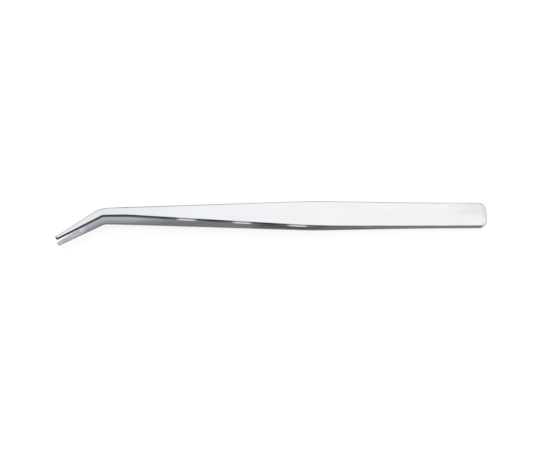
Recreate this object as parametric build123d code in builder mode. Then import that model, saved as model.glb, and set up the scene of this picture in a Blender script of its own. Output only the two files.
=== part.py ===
from build123d import *

import os
from math import asin, atan, atan2, ceil, cos, hypot, radians, sin, tan

# Long tweezers with bent tips: two sprung steel arms, welded together at the rear.
# They lie as they come to rest, on the outer face of the lower arm.
# +X points to the rear, the tips are bent towards -Y, and +Z points up.
# The origin is on the floor under the middle of the outline.

# Driving dimensions in millimetres, along an arm
overall_length = 200.0
weld_length = 22.0
handle_length = 80.0
neck_length = 11.0
knee_before_bend = 11.0

# Widths of an arm
rear_width = 12.3
handle_width = 13.3
neck_width = 4.4
tip_width = 1.8

# Thickness of an arm, thinner at the spring than at the neck
spring_thickness = 1.4
neck_thickness = 2.0
tip_thickness = 1.2

# The bent tip, seen from above
tip_length = 24.2
tip_bend = 32.0
inner_bend_radius = 4.5
outer_bend_radius = 12.0
tip_corner_radius = 0.5

# Blends of the outline
taper_blend = 240.0
neck_blend = 240.0
rear_crown = 0.5
rear_corner_radius = 3.2
straight_before_bend = 0.5

# The spring and the knee, seen from the side
spring_radius = 1200.0
opening_angle = 1.6
closing_angle = 1.3
knee_radius = 60.0

# Ground ends and rounded edges
rear_grind_length = 2.6
rear_grind_depth = 0.6
rear_grind_radius = 9.0
edge_radius = 0.75
edge_break = 0.12

# Serrations across the jaws
serrated_length = 12.0
groove_pitch = 0.8
groove_depth = 0.22
groove_angle = 90.0


def offset_corner(corner, angle_in, angle_out, distance):
    """A corner of the line that runs beside a bent line, on the side away from the weld."""
    half_turn = (angle_out - angle_in) / 2
    middle = (angle_out + angle_in) / 2
    reach = distance / cos(half_turn)
    return corner[0] - reach * sin(middle), corner[1] + reach * cos(middle)


# Places along the arm, from the rear end
bend = radians(tip_bend)
bend_from_rear = overall_length - tip_length * cos(bend) - tip_width / 2 * sin(bend)
taper_end = bend_from_rear - neck_length
knee_from_rear = bend_from_rear - knee_before_bend

# Inner face of an arm, seen from the side: along the arm, and away from the weld
opening = radians(opening_angle)
closing = radians(closing_angle)
spring_middle = weld_length + spring_radius * tan(opening / 2)
knee_rise = (knee_from_rear - spring_middle) * tan(opening)
tip_rise = knee_rise - (overall_length - knee_from_rear) * tan(closing)
inner_spring = (spring_middle, 0)
inner_knee = (knee_from_rear, knee_rise)
inner_tip = (overall_length, tip_rise)

# Outer face, the thickness of the spring away behind and that of the neck away in front
outer_rear = (0, spring_thickness - rear_grind_depth)
outer_grind = (rear_grind_length, spring_thickness)
outer_spring = offset_corner(inner_spring, 0, opening, spring_thickness)
outer_knee = offset_corner(inner_knee, opening, -closing, neck_thickness)
outer_tip = (overall_length, tip_rise + tip_thickness / cos(closing))

# Rest: the floor touches the round of the ground rear end and the round of the knee
grind_slope = atan(rear_grind_depth / rear_grind_length)
knee_in = atan2(outer_knee[1] - outer_spring[1], outer_knee[0] - outer_spring[0])
knee_out = atan2(outer_tip[1] - outer_knee[1], outer_tip[0] - outer_knee[0])
outer_knee_radius = knee_radius + neck_thickness
rear_round_x = rear_grind_length + rear_grind_radius * tan(grind_slope / 2)
rear_round_y = spring_thickness - rear_grind_radius
knee_round_reach = outer_knee_radius / cos((knee_in - knee_out) / 2)
knee_round_x = outer_knee[0] + knee_round_reach * sin((knee_in + knee_out) / 2)
knee_round_y = outer_knee[1] - knee_round_reach * cos((knee_in + knee_out) / 2)
round_distance = hypot(knee_round_x - rear_round_x, knee_round_y - rear_round_y)
round_slope = atan2(knee_round_y - rear_round_y, knee_round_x - rear_round_x)
rest_tilt = round_slope + asin((outer_knee_radius - rear_grind_radius) / round_distance)
rest_height = rear_grind_radius + rear_round_y * cos(rest_tilt) - rear_round_x * sin(rest_tilt)

# Tip, seen from above: along the arm, and towards the side that it is bent to
tip_reach = tip_length * sin(bend) + tip_width / 2 * cos(bend)
tip_end = (bend_from_rear + tip_length * cos(bend), tip_length * sin(bend))

# The plane of the weld, tilted so that the lower arm rests on the floor
rear_point = Vector(overall_length / 2 * cos(rest_tilt), (tip_reach - handle_width / 2) / 2, rest_height)
forward = Vector(-cos(rest_tilt), 0, sin(rest_tilt))
upward = Vector(sin(rest_tilt), 0, cos(rest_tilt))
bend_side = Vector(0, -1, 0)
weld_plane = Plane(origin=rear_point, x_dir=forward, z_dir=upward)


# Long section of an arm, with the weld face along the first axis
with BuildSketch() as side_profile:
    with BuildLine():
        inner = FilletPolyline(
            (0, 0), inner_spring, inner_knee, inner_tip,
            radius=(spring_radius, knee_radius),
        )
        outer = FilletPolyline(
            outer_rear, outer_grind, outer_spring, outer_knee, outer_tip,
            radius=(rear_grind_radius, spring_radius - spring_thickness, outer_knee_radius),
        )
        Line(inner @ 0, outer @ 0)
        Line(inner @ 1, outer @ 1)
    make_face()

# Outline of an arm from above: broad handle, straight taper, narrow neck and angled tip
rear_side = rear_width / 2
handle_side = handle_width / 2
neck_side = neck_width / 2
bend_mitre = neck_side * tan(bend / 2)
tip_side = (tip_width / 2 * sin(bend), tip_width / 2 * cos(bend))

# The blend at the neck ends before the rounds of the bend begin
taper_slope = atan((handle_side - neck_side) / (taper_end - handle_length))
far_room = neck_length + bend_mitre - outer_bend_radius * tan(bend / 2)
near_room = neck_length - bend_mitre - inner_bend_radius * tan(bend / 2)
neck_room = min(far_room, near_room) - straight_before_bend
neck_round = min(neck_blend, neck_room / tan(taper_slope / 2))
with BuildSketch() as plan_outline:
    with BuildLine():
        far_side = FilletPolyline(
            (rear_crown, -rear_side),
            (handle_length, -handle_side),
            (taper_end, -neck_side),
            (bend_from_rear + bend_mitre, -neck_side),
            (tip_end[0] + tip_side[0], tip_end[1] - tip_side[1]),
            radius=(taper_blend, neck_round, outer_bend_radius),
        )
        near_side = FilletPolyline(
            (rear_crown, rear_side),
            (handle_length, handle_side),
            (taper_end, neck_side),
            (bend_from_rear - bend_mitre, neck_side),
            (tip_end[0] - tip_side[0], tip_end[1] + tip_side[1]),
            radius=(taper_blend, neck_round, inner_bend_radius),
        )
        ThreePointArc(far_side @ 0, (0, 0), near_side @ 0)
        Line(far_side @ 1, near_side @ 1)
    make_face()
    fillet(vertices().sort_by(Axis.X)[:2], radius=rear_corner_radius)
    fillet(vertices().sort_by(Axis.X)[-2:], radius=tip_corner_radius)


def make_arm(away, first_groove):
    """One arm on the side of the weld that away points to, with its first groove at a distance from the tip."""
    side_plane = Plane(origin=rear_point, x_dir=forward, z_dir=forward.cross(away))
    jaw = (forward * cos(bend) + bend_side * sin(bend) - away * (cos(bend) * tan(closing))).normalized()
    inward = (forward * -sin(closing) - away * cos(closing)).normalized()
    jaw_end = rear_point + forward * tip_end[0] + bend_side * tip_end[1]
    jaw_end = jaw_end + away * (tip_rise + (overall_length - tip_end[0]) * tan(closing))
    groove_half_width = groove_depth * tan(radians(groove_angle / 2))
    groove_count = ceil((serrated_length - first_groove) / groove_pitch)

    with BuildPart() as arm:
        with BuildSketch(side_plane):
            add(side_profile.sketch)
        extrude(amount=handle_width + tip_reach, both=True)
        with BuildSketch(weld_plane):
            add(plan_outline.sketch)
        extrude(amount=knee_rise + 2 * neck_thickness, both=True, mode=Mode.INTERSECT)

        # Rounded edge all round the outer face, and a fine one round the inner face
        walls = faces().filter_by(lambda face: abs(face.normal_at().dot(away)) < 0.5)
        outer_faces = faces().filter_by(lambda face: face.normal_at().dot(away) > 0.5)
        inner_faces = faces().filter_by(lambda face: face.normal_at().dot(away) < -0.5)
        inner_rim = inner_faces.edges() & walls.edges()
        fillet(outer_faces.edges() & walls.edges(), radius=edge_radius)
        chamfer(inner_rim, length=edge_break)

        # Serrations across the inner face of the jaw
        with BuildSketch(Plane(origin=jaw_end, x_dir=-jaw, z_dir=inward.cross(jaw))):
            for groove in range(groove_count):
                with Locations((first_groove + groove * groove_pitch, 0)):
                    Polygon(
                        (-2 * groove_half_width, groove_depth),
                        (2 * groove_half_width, groove_depth),
                        (0, -groove_depth),
                        align=None,
                    )
        extrude(amount=neck_width, both=True, mode=Mode.SUBTRACT)
    return arm


os.makedirs("parts", exist_ok=True)

# The teeth of one arm meet the grooves of the other
upper_arm = make_arm(upward, groove_pitch)
upper_arm.part.label = "upper_arm"
export_step(upper_arm.part, "parts/upper_arm.step")

lower_arm = make_arm(-upward, groove_pitch / 2)
lower_arm.part.label = "lower_arm"
export_step(lower_arm.part, "parts/lower_arm.step")
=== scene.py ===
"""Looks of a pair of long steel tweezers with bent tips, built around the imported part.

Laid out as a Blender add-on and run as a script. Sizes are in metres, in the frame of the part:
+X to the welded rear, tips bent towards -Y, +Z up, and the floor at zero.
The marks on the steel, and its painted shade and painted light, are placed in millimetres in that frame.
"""
from math import cos, pi, radians, sin

import bpy
from bpy.props import FloatProperty, FloatVectorProperty, PointerProperty
from mathutils import Matrix, Vector

bl_info = {
    "name": "Bent Tip Tweezers",
    "version": (1, 0, 0),
    "blender": (4, 5, 0),
    "location": "View3D > Sidebar > Tweezers",
    "description": "Finishes a pair of steel tweezers and sets them out in a studio",
    "category": "Object",
}

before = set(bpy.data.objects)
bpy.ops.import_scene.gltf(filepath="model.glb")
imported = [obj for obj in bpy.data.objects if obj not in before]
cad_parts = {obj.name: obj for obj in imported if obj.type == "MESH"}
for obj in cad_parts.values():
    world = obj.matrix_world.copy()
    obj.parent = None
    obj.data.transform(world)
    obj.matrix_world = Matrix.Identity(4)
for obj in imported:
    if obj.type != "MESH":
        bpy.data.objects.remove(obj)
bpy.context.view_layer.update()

MILLIMETRE = 0.001
WHITE = (1.0, 1.0, 1.0)

# Each arm, with 1 where its outer face looks up and -1 where it looks down
ARMS = {"lower_arm": -1, "upper_arm": 1}

# Width of the picture and focal length of the camera, in pixels
PICTURE_WIDTH = 540
FOCAL_LENGTH = 1446

# Grain of the steel: each noise by its bumps in a millimetre, its detail and its roughness
LINE_STRETCH = (0.02, 1.0, 1.0)
FINE_LINES = (5.0, 3.0, 0.6)
BROAD_LINES = (0.9, 2.0, 0.5)
CLOUD = (0.06, 2.0, 0.5)

# How far the grain changes the tone and the roughness of a face
FINE_LINES_SWING = 0.08
CLOUD_SWING = 0.10

# Which way a surface looks, from where it begins to count as inner, far or top to where it does in full
INNER_FACING = (0.2, 0.6)
FAR_FACING = (0.1, 0.6)
TOP_FACING = (0.7, 0.9)

# How level a surface is where a narrow side ends and a face begins, with its shifts in front and on teeth
SIDE_ENDS = 0.78
SIDE_ENDS_FRONT = 0.14
SIDE_ENDS_TEETH = -0.45
FACE_BEGINS = 0.985
FACE_BEGINS_FRONT = 0.010
FACE_BEGINS_TEETH = -0.16

# Stretches along the arms in millimetres, by where each change begins and ends
JAWS_STOP = (-90.0, -86.0)
FRONT_STOP = (-75.0, -20.0)
THIN_GAP_START = (-14.0, -2.0)
THIN_GAP_STOP = (14.0, 26.0)

# Marks and painted shade on the broad faces: their places in millimetres, their noise, and how much darker
# they are
# Painted shade over the front of the arms
FRONT_SHADE = 0.09
REAR_RUB_START = (78.0, 92.0)
REAR_RUB_ACROSS = (0.0, 6.0)
REAR_RUB_PATCHES = (0.35, 2.0, 0.5)
REAR_RUB_LEAST = 0.4
REAR_RUB_MORE = 1.2
REAR_RUB_SHADE = 0.10
RIM_LINES_START = (48.0, 56.0)
RIM_LINES_STOP = (86.0, 92.0)
RIM_LINES_ACROSS = (4.5, 6.5)
RIM_LINES_RISE = (0.52, 0.60)
RIM_LINES_MIDDLE = 0.4
RIM_LINES_SHADE = 0.11
# A bowed line of painted shade across the rear
END_SHADE_LINE_PLACE = 98.3
END_SHADE_LINE_MIDDLE = 3.5
END_SHADE_LINE_CURVE = 0.022
END_SHADE_LINE_RIM = (0.15, 0.55)
END_SHADE_LINE_STRENGTH = 0.12

# Faces that look at each other: where the rear part starts, painted light on the jaws in patches, and
# painted shade in the thin gap
INSIDE_REAR_START = (-60.0, 0.0)
JAW_LIGHT_PATCHES = (0.9, 3.0, 0.5)
JAW_LIGHT_RISE = (0.3, 0.6)
JAW_LIGHT_LEAST = 0.6
JAW_LIGHT_MORE = 0.4
THIN_GAP_SHADE = 0.25

# Narrow sides: heights between which their painted shade deepens, and the painted waves of highlight and
# shade on the upper arm
SIDE_HEIGHTS = (3.0, 7.0)
UPPER_ARM_START = (-0.4, 0.0)
WAVES_START = (-54.0, -46.0)
WAVES_STOP = (18.0, 28.0)
WAVE_RISE = (0.2, 0.9)
WAVE_SHINE = 0.40
WAVE_SHADE = 0.65
LOW_SHINE_RISE = (0.0, 0.5)
LOW_SHINE_TOP = (-0.2, 0.4)
LOW_SHINE_REACH = 0.8
LOW_SHINE = 0.60
FAR_SHINE_LOSS = 0.7

# Painted light on the far sides, with less of it along the front, and a painted highlight on the end at
# the weld
FAR_PALE = 0.9
FAR_LINE_START = (-76.0, -68.0)
FAR_LINE_STOP = (-30.0, 20.0)
FAR_LINE_LOSS = 0.65
END_PALE_START = (96.8, 98.0)
END_PALE = 0.75

# Tone and roughness of the narrow sides, as the broad lines change them
SIDE_TONE = 0.80
SIDE_TONE_MORE = 0.4
SIDE_ROUGHNESS_SWING = 0.12


class TweezersSteel(bpy.types.PropertyGroup):
    """Finish of the two arms, with the colours of their painted shade and painted light."""

    face_colour: FloatVectorProperty(
        name="Face colour", description="Colour of the broad polished faces",
        subtype="COLOR", size=3, min=0, max=1, default=(0.75, 0.758, 0.768),
    )
    # The inner colours are painted shade from the other arm, less dark by the weld
    inner_colour: FloatVectorProperty(
        name="Inner colour", description="Colour of the faces that look at each other",
        subtype="COLOR", size=3, min=0, max=1, default=(0.50, 0.51, 0.54),
    )
    rear_inner_colour: FloatVectorProperty(
        name="Rear inner colour", description="Colour of the inner faces by the weld",
        subtype="COLOR", size=3, min=0, max=1, default=(0.70, 0.71, 0.74),
    )
    # Painted light: the pale jaws and the palest sides
    painted_light_colour: FloatVectorProperty(
        name="Jaw colour", description="Colour of the worn teeth of the jaws and of the palest sides",
        subtype="COLOR", size=3, min=0, max=1, default=(0.85, 0.86, 0.88),
    )
    # Colour of the painted highlights on the narrow sides
    shine_colour: FloatVectorProperty(
        name="Shine colour", description="Colour of the narrow sides where they shine",
        subtype="COLOR", size=3, min=0, max=1, default=(0.92, 0.93, 0.97),
    )
    # The narrow sides are coloured with painted shade, darker towards the top of the spread
    low_side_painted_shade: FloatVectorProperty(
        name="Low side colour", description="Colour of the narrow sides near the floor",
        subtype="COLOR", size=3, min=0, max=1, default=(0.20, 0.21, 0.235),
    )
    high_side_painted_shade: FloatVectorProperty(
        name="High side colour", description="Colour of the narrow sides at the top of the spread",
        subtype="COLOR", size=3, min=0, max=1, default=(0.07, 0.08, 0.10),
    )
    face_roughness: FloatProperty(
        name="Face roughness", description="Roughness of the broad faces",
        subtype="FACTOR", min=0, max=1, default=0.16,
    )
    inner_roughness: FloatProperty(
        name="Inner roughness", description="Roughness of the faces that look at each other",
        subtype="FACTOR", min=0, max=1, default=0.36,
    )
    rear_inner_roughness: FloatProperty(
        name="Rear inner roughness", description="Roughness of the inner faces by the weld",
        subtype="FACTOR", min=0, max=1, default=0.55,
    )
    jaw_roughness: FloatProperty(
        name="Jaw roughness", description="Roughness of the worn teeth of the jaws",
        subtype="FACTOR", min=0, max=1, default=0.48,
    )
    side_roughness: FloatProperty(
        name="Side roughness", description="Roughness of the narrow sides",
        subtype="FACTOR", min=0, max=1, default=0.34,
    )
    line_depth: FloatProperty(
        name="Line depth", description="Depth of the polishing lines",
        subtype="DISTANCE", unit="LENGTH", min=0, max=0.0001, default=0.000004,
    )
    wave_start: FloatProperty(
        name="Wave start", description="Place of one shining stretch of the narrow sides, along the arms",
        subtype="DISTANCE", unit="LENGTH", min=-0.1, max=0.1, default=-0.0395,
    )
    wave_length: FloatProperty(
        name="Wave length", description="Distance from one shining stretch to the next",
        subtype="DISTANCE", unit="LENGTH", min=0.005, max=0.1, default=0.0256,
    )
    inner_height: FloatProperty(
        name="Inner height", description="Height of the upper arm's inner face, halfway along the arm",
        subtype="DISTANCE", unit="LENGTH", min=0, max=0.05, default=0.00557,
    )
    spread_slope: FloatProperty(
        name="Spread slope", description="Rise of the upper arm towards the tips, for its run",
        min=0, max=1, default=0.0536,
    )


class TweezersStage(bpy.types.PropertyGroup):
    """Floor, lamp, room and camera."""

    floor_size: FloatProperty(
        name="Floor size", description="Side of the square floor",
        subtype="DISTANCE", unit="LENGTH", min=0.5, max=20, default=6.0,
    )
    floor_colour: FloatVectorProperty(
        name="Floor colour", description="Colour of the floor",
        subtype="COLOR", size=3, min=0, max=1, default=(0.32, 0.32, 0.32),
    )
    floor_glow: FloatProperty(
        name="Floor glow", description="Glow that makes the floor look white to a camera",
        subtype="FACTOR", min=0, max=1, default=0.78,
    )
    room_colour: FloatVectorProperty(
        name="Room colour", description="Dim light that comes from all round the room",
        subtype="COLOR", size=3, min=0, max=1, default=(0.60, 0.605, 0.615),
    )
    softbox_place: FloatVectorProperty(
        name="Softbox place", description="Middle of the lamp, which is turned to the tweezers",
        subtype="TRANSLATION", unit="LENGTH", size=3, min=-5, max=5, default=(0.0, 0.30, 1.05),
    )
    softbox_size: FloatVectorProperty(
        name="Softbox size", description="Width and depth of the lamp",
        subtype="XYZ", unit="LENGTH", size=2, min=0.05, max=5, default=(2.6, 1.1),
    )
    softbox_brightness: FloatProperty(
        name="Softbox brightness", description="Brightness of the lamp's face, where 1 is white",
        min=0, max=10, default=0.58,
    )
    camera_target: FloatVectorProperty(
        name="Camera target", description="Point that the camera looks at",
        subtype="TRANSLATION", unit="LENGTH", size=3, min=-1, max=1, default=(-0.001, -0.00193, 0.0054),
    )
    camera_distance: FloatProperty(
        name="Camera distance", description="From the camera to its target",
        subtype="DISTANCE", unit="LENGTH", min=0.2, max=5, default=0.67,
    )
    camera_pitch: FloatProperty(
        name="Camera pitch", description="Lean of the camera from upright, to the side of the bent tips",
        subtype="ANGLE", unit="ROTATION", min=0, max=1.5, default=radians(24.5),
    )
    camera_roll: FloatProperty(
        name="Camera roll", description="Lean of the camera towards the weld",
        subtype="ANGLE", unit="ROTATION", min=-0.5, max=0.5, default=radians(1.25),
    )
    camera_heading: FloatProperty(
        name="Camera heading", description="Turn of the camera about the upright axis",
        subtype="ANGLE", unit="ROTATION", min=-3.2, max=3.2, default=radians(-0.22),
    )
    camera_scale: FloatProperty(
        name="Camera scale", description="Focal length of the camera, in picture widths",
        min=0.5, max=20, default=FOCAL_LENGTH / PICTURE_WIDTH,
    )


class Wire:
    """A node's output, written in a shader's sums as a plain number is."""

    def __init__(self, tree, socket=None):
        self.tree = tree
        self.socket = socket

    def node(self, kind, settings=None, inputs=None, output=0):
        """A node of one type: its settings first, then the values or links of its sockets."""
        made = self.tree.nodes.new(kind)
        for name, value in (settings or {}).items():
            setattr(made, name, value)
        for name, value in (inputs or {}).items():
            if isinstance(value, Wire):
                self.tree.links.new(value.socket, made.inputs[name])
            else:
                made.inputs[name].default_value = value
        return Wire(self.tree, made.outputs[output] if made.outputs else None)

    def _sum(self, operation, first, second):
        return self.node("ShaderNodeMath", {"operation": operation}, {0: first, 1: second})

    def __add__(self, other):
        return self._sum("ADD", self, other)

    def __radd__(self, other):
        return self._sum("ADD", other, self)

    def __sub__(self, other):
        return self._sum("SUBTRACT", self, other)

    def __rsub__(self, other):
        return self._sum("SUBTRACT", other, self)

    def __mul__(self, other):
        return self._sum("MULTIPLY", self, other)

    def __rmul__(self, other):
        return self._sum("MULTIPLY", other, self)

    def __abs__(self):
        return self.node("ShaderNodeMath", {"operation": "ABSOLUTE"}, {0: self})

    def cosine(self):
        """Cosine of an angle in radians."""
        return self.node("ShaderNodeMath", {"operation": "COSINE"}, {0: self})

    def step(self, low, high):
        """Smooth step from 0 at low to 1 at high."""
        return self.node(
            "ShaderNodeMapRange", {"interpolation_type": "SMOOTHSTEP"},
            {"Value": self, "From Min": low, "From Max": high},
        )

    def stretch(self, start, stop):
        """1 from a start to a stop and 0 beyond, each given as where its change begins and ends."""
        return self.step(*start) * (1 - self.step(*stop))

    def swing(self, strength):
        """Noise as a change to both sides of nothing, half the strength to each."""
        return strength * (self - 0.5)

    def noise(self, scale, detail, roughness):
        """Noise from 0 to 1 at this place, with so many bumps in a unit."""
        return self.node(
            "ShaderNodeTexNoise", {"noise_dimensions": "3D"},
            {"Vector": self, "Scale": scale, "Detail": detail, "Roughness": roughness},
        )

    def axis(self, name):
        """One axis of a vector."""
        return self.node("ShaderNodeSeparateXYZ", {}, {"Vector": self}, output=name)

    def blend(self, start, end):
        """A colour from start to end, where this is 0 to 1."""
        return self.node(
            "ShaderNodeMix", {"data_type": "RGBA"}, {0: self, 6: start, 7: end}, output=2,
        )

    def tone(self, strength):
        """This colour made lighter or darker."""
        return self.node(
            "ShaderNodeMix", {"data_type": "RGBA", "blend_type": "MULTIPLY"},
            {0: 1.0, 6: self, 7: strength}, output=2,
        )


def new_material(name):
    """A material with nothing in it, and its tree ready for nodes."""
    material = bpy.data.materials.new(name)
    material.use_nodes = True
    material.node_tree.nodes.clear()
    return material, Wire(material.node_tree)


def opaque(colour):
    """A colour as a shader's socket takes it."""
    return (*colour, 1.0)


class ArmSurface:
    """What the finish of an arm goes by: place in millimetres, facing, and grain of the steel."""

    def __init__(self, tree, outward):
        self.place = tree.node(
            "ShaderNodeVectorMath", {"operation": "SCALE"},
            {0: tree.node("ShaderNodeTexCoord", output="Object"), "Scale": 1 / MILLIMETRE},
        )
        self.length = self.place.axis("X")
        self.width = self.place.axis("Y")
        self.height = self.place.axis("Z")
        self.jaws = 1 - self.length.step(*JAWS_STOP)
        self.front = 1 - self.length.step(*FRONT_STOP)
        self.thin_gap = self.length.stretch(THIN_GAP_START, THIN_GAP_STOP)

        normal = tree.node("ShaderNodeTexCoord", output="Normal")
        self.upward = normal.axis("Z")
        self.inner = (self.upward * -outward).step(*INNER_FACING)
        self.far = normal.axis("Y").step(*FAR_FACING)

        # Polishing lines run along the arm
        along = tree.node("ShaderNodeMapping", {}, {"Vector": self.place, "Scale": LINE_STRETCH})
        self.fine_lines = along.noise(*FINE_LINES)
        self.broad_lines = along.noise(*BROAD_LINES)
        cloud = self.place.noise(*CLOUD)
        self.grain = cloud.swing(CLOUD_SWING) + self.fine_lines.swing(FINE_LINES_SWING)


def side_mask(arm):
    """1 on the narrow sides, and 0 on the faces and on the walls of the jaws' grooves."""
    teeth = arm.jaws * arm.inner
    side_ends = SIDE_ENDS + SIDE_ENDS_FRONT * arm.front + SIDE_ENDS_TEETH * teeth
    face_begins = FACE_BEGINS + FACE_BEGINS_FRONT * arm.front + FACE_BEGINS_TEETH * teeth
    return 1 - abs(arm.upward).step(side_ends, face_begins)


def face_tone(arm):
    """Tone of the broad faces: painted shade in front and on a bowed line at the rear, rubbed at the rear
    corner and lined by the far rim.
    """
    patches = REAR_RUB_LEAST + REAR_RUB_MORE * arm.place.noise(*REAR_RUB_PATCHES)
    rear_rub = arm.length.step(*REAR_RUB_START) * arm.width.step(*REAR_RUB_ACROSS) * patches
    by_rim = arm.length.stretch(RIM_LINES_START, RIM_LINES_STOP) * arm.width.step(*RIM_LINES_ACROSS)
    rim_lines = by_rim * (arm.fine_lines.step(*RIM_LINES_RISE) - RIM_LINES_MIDDLE)

    # A bowed line of painted shade across the rear, where the ground end begins
    off_middle = arm.width - END_SHADE_LINE_MIDDLE
    bowed = abs(arm.length + END_SHADE_LINE_CURVE * off_middle * off_middle - END_SHADE_LINE_PLACE)
    end_shade_line = (1 - bowed.step(*END_SHADE_LINE_RIM)) * arm.upward.step(*TOP_FACING)

    # Painted shade in front and on the bowed line at the rear; the rub and the rim lines are marks on the
    # steel
    shade = END_SHADE_LINE_STRENGTH * end_shade_line + FRONT_SHADE * arm.front
    shade = shade + REAR_RUB_SHADE * rear_rub + RIM_LINES_SHADE * rim_lines
    return 1 - shade + arm.grain


def inside_colour(steel, arm):
    """Colour of the faces that look at each other: painted shade from the other arm, lighter by the weld,
    painted light on the jaws, and deeper painted shade in the thin gap.
    """
    rear = arm.length.step(*INSIDE_REAR_START)
    colour = rear.blend(opaque(steel.inner_colour), opaque(steel.rear_inner_colour))
    # Painted light on the jaws, in patches
    patches = arm.place.noise(*JAW_LIGHT_PATCHES).step(*JAW_LIGHT_RISE)
    lit = arm.jaws * (JAW_LIGHT_LEAST + JAW_LIGHT_MORE * patches)
    colour = lit.blend(colour, opaque(steel.painted_light_colour))
    # Painted shade where the gap between the arms is thin
    return colour.tone(1 - THIN_GAP_SHADE * arm.thin_gap)


def side_colour(steel, arm):
    """Colour of the narrow sides: painted shade, with painted reflections in waves on the upper arm, and
    painted light on the far side.
    """
    above = arm.height - (steel.inner_height / MILLIMETRE - steel.spread_slope * arm.length)
    on_upper = above.step(*UPPER_ARM_START)
    # Painted reflections on the upper arm's sides: waves of painted highlight, with painted shade in the
    # troughs
    waves = on_upper * arm.length.stretch(WAVES_START, WAVES_STOP)
    wave = (arm.length - steel.wave_start / MILLIMETRE) * (2 * pi / (steel.wave_length / MILLIMETRE))
    crest = wave.cosine()
    peak = crest.step(*WAVE_RISE)
    trough = (wave + pi).cosine().step(*WAVE_RISE)

    # The painted highlight fills the lower half of the side, and climbs at the peak of a wave
    low = 1 - (above - LOW_SHINE_REACH * peak).step(*LOW_SHINE_TOP)
    shine = WAVE_SHINE * peak + LOW_SHINE * crest.step(*LOW_SHINE_RISE) * low
    shine = shine * waves * (1 - FAR_SHINE_LOSS * arm.far)

    # Painted shade on the narrow sides, deeper higher up
    high = arm.height.step(*SIDE_HEIGHTS)
    colour = high.blend(opaque(steel.low_side_painted_shade), opaque(steel.high_side_painted_shade))
    # Painted shade in the troughs of the waves
    colour = colour.tone(1 - WAVE_SHADE * waves * trough)
    # Painted shade from the thin gap on the lower arm's sides
    colour = colour.tone(1 - THIN_GAP_SHADE * arm.thin_gap * (1 - on_upper))
    # Painted highlight of the waves
    colour = shine.blend(colour, opaque(steel.shine_colour))

    # Painted light: the far sides paler, less so along the front, and a painted highlight at the end by
    # the weld
    far_line = arm.length.stretch(FAR_LINE_START, FAR_LINE_STOP)
    pale_end = END_PALE * arm.length.step(*END_PALE_START)
    pale = arm.far * (FAR_PALE - FAR_LINE_LOSS * far_line) + (1 - arm.far) * pale_end
    colour = pale.blend(colour, opaque(steel.painted_light_colour))
    return colour.tone(SIDE_TONE + SIDE_TONE_MORE * arm.broad_lines)


def steel_roughness(steel, arm, side):
    """Roughness of the outer face, of the inner face with its toothed jaws, and of the narrow sides."""
    rear = arm.length.step(*INSIDE_REAR_START)
    inside = steel.inner_roughness + rear * (steel.rear_inner_roughness - steel.inner_roughness)
    inside = inside + arm.jaws * (steel.jaw_roughness - steel.inner_roughness)
    faces = steel.face_roughness + arm.inner * (inside - steel.face_roughness) + arm.grain
    sides = steel.side_roughness + arm.broad_lines.swing(SIDE_ROUGHNESS_SWING)
    return faces + side * (sides - faces)


def polished_steel(steel, name, outward):
    """Bright polished outer face, duller inner face with painted shade, and rougher narrow sides with
    painted shade and painted reflections.
    """
    material, tree = new_material(name)
    arm = ArmSurface(tree, outward)
    side = side_mask(arm)
    face = arm.inner.blend(opaque(steel.face_colour), inside_colour(steel, arm))
    colour = side.blend(face.tone(face_tone(arm)), side_colour(steel, arm))
    relief = tree.node(
        "ShaderNodeBump", {},
        {"Height": arm.fine_lines, "Distance": steel.line_depth, "Strength": 1.0},
    )
    surface = tree.node(
        "ShaderNodeBsdfPrincipled", {},
        {
            "Base Color": colour,
            "Metallic": 1.0,
            "Roughness": steel_roughness(steel, arm, side),
            "Normal": relief,
        },
    )
    tree.node("ShaderNodeOutputMaterial", {}, {"Surface": surface})
    return material


class TWEEZERS_OT_finish_arms(bpy.types.Operator):
    """Give both arms their polished steel"""

    bl_idname = "tweezers.finish_arms"
    bl_label = "Finish Arms"

    def execute(self, context):
        for arm, outward in ARMS.items():
            material = polished_steel(context.scene.tweezers_steel, f"polished_{arm}", outward)
            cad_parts[arm].material_slots[0].material = material
        return {"FINISHED"}


def floor_material(colour, glow):
    """A plain pale floor that a camera and polished metal see as a white sheet with a soft shadow."""
    material, tree = new_material("floor")
    seen = tree.node("ShaderNodeLightPath", output="Is Camera Ray")
    glossy = tree.node("ShaderNodeLightPath", output="Is Glossy Ray")
    through = tree.node("ShaderNodeLightPath", output="Is Transmission Ray")
    shine = (seen + glossy + through).step(0.0, 1.0) * glow
    sheet = tree.node("ShaderNodeBsdfDiffuse", {}, {"Color": opaque(colour)})
    white = tree.node("ShaderNodeEmission", {}, {"Color": opaque(WHITE), "Strength": shine})
    surface = tree.node("ShaderNodeAddShader", {}, {0: sheet, 1: white})
    tree.node("ShaderNodeOutputMaterial", {}, {"Surface": surface})
    return material


def add_floor(stage):
    """The square floor that the tweezers lie on."""
    bpy.ops.object.select_all(action="DESELECT")
    bpy.ops.mesh.primitive_plane_add(size=stage.floor_size, location=(0, 0, 0))
    floor = bpy.context.object
    floor.name = "floor"
    floor.data.materials.append(floor_material(stage.floor_colour, stage.floor_glow))


def add_room(stage):
    """Light of one colour from all round."""
    world = bpy.data.worlds.new("room")
    world.use_nodes = True
    world.node_tree.nodes["Background"].inputs["Color"].default_value = opaque(stage.room_colour)
    bpy.context.scene.world = world


def add_softbox(stage):
    """A rectangular lamp above the tweezers, whose face has the given brightness."""
    lamp = bpy.data.lights.new("overhead_softbox", "AREA")
    lamp.shape = "RECTANGLE"
    lamp.size, lamp.size_y = stage.softbox_size
    lamp.energy = stage.softbox_brightness * lamp.size * lamp.size_y * pi
    holder = bpy.data.objects.new("overhead_softbox", lamp)
    bpy.context.scene.collection.objects.link(holder)
    holder.location = stage.softbox_place
    holder.rotation_euler = (-stage.softbox_place).to_track_quat("-Z", "Y").to_euler()


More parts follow.
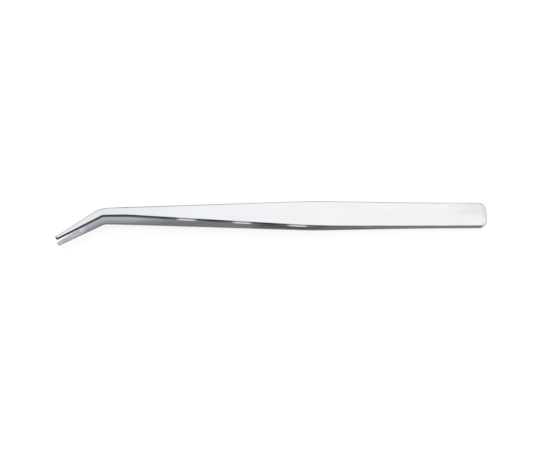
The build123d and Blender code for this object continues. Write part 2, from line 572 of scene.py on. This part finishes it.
def add_camera(stage):
    """A camera that looks down on the arms, with the bent tips towards it."""
    roll = Matrix.Rotation(stage.camera_roll, 3, "Y")
    lean = Matrix.Rotation(stage.camera_heading, 3, "Z") @ roll
    forward = lean @ Vector((0, sin(stage.camera_pitch), -cos(stage.camera_pitch)))
    right = lean @ Vector((1, 0, 0))
    up = right.cross(forward)
    turn = Matrix((right, up, -forward)).transposed()
    place = stage.camera_target - stage.camera_distance * forward
    camera = bpy.data.cameras.new("camera")
    camera.lens = camera.sensor_width * stage.camera_scale
    holder = bpy.data.objects.new("camera", camera)
    bpy.context.scene.collection.objects.link(holder)
    holder.matrix_world = Matrix.Translation(place) @ turn.to_4x4()
    bpy.context.scene.camera = holder


class TWEEZERS_OT_set_stage(bpy.types.Operator):
    """Add the floor, the room, the lamp and the camera"""

    bl_idname = "tweezers.set_stage"
    bl_label = "Set Stage"

    def execute(self, context):
        stage = context.scene.tweezers_stage
        add_floor(stage)
        add_room(stage)
        add_softbox(stage)
        add_camera(stage)
        context.scene.view_settings.view_transform = "Standard"
        return {"FINISHED"}


class VIEW3D_PT_tweezers(bpy.types.Panel):
    """Lists the steps that finish and show the tweezers"""

    bl_label = "Tweezers"
    bl_space_type = "VIEW_3D"
    bl_region_type = "UI"
    bl_category = "Tweezers"

    def draw(self, context):
        layout = self.layout
        for group, operator in (
            (context.scene.tweezers_steel, TWEEZERS_OT_finish_arms),
            (context.scene.tweezers_stage, TWEEZERS_OT_set_stage),
        ):
            box = layout.box()
            for name in group.__annotations__:
                box.prop(group, name)
            box.operator(operator.bl_idname)


CLASSES = (
    TweezersSteel,
    TweezersStage,
    TWEEZERS_OT_finish_arms,
    TWEEZERS_OT_set_stage,
    VIEW3D_PT_tweezers,
)


def register():
    for each in CLASSES:
        bpy.utils.register_class(each)
    bpy.types.Scene.tweezers_steel = PointerProperty(type=TweezersSteel)
    bpy.types.Scene.tweezers_stage = PointerProperty(type=TweezersStage)


def unregister():
    del bpy.types.Scene.tweezers_stage
    del bpy.types.Scene.tweezers_steel
    for each in reversed(CLASSES):
        bpy.utils.unregister_class(each)


def main():
    """Finish the arms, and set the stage."""
    register()
    bpy.ops.tweezers.finish_arms()
    bpy.ops.tweezers.set_stage()


if __name__ == "__main__":
    main()
